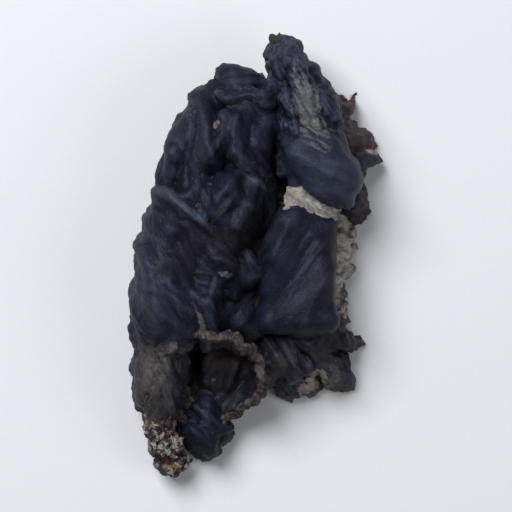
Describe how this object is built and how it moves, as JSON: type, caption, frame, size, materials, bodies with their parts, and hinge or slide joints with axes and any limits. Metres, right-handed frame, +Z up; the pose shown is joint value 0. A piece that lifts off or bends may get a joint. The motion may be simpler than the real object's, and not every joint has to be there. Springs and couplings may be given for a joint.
{
  "type": "wood ear mushroom",
  "caption": "Dried wood ear mushroom: one clump of thin, dark, crumpled ears that grew from one torn foot, lying loose on its lowest folds.",
  "frame": {"origin": "centre of the clump's footprint, on the surface that it lies on", "axes": "+Z up from that surface, +Y from the torn foot towards the far tip, the longest way"},
  "size_m": [0.0332, 0.0568, 0.0159],
  "materials": {
    "dried_flesh": "matt, with a slight sheen on the folds"
  },
  "bodies": {
    "root": {"wood_ear": "dried_flesh"}
  },
  "joints": []
}
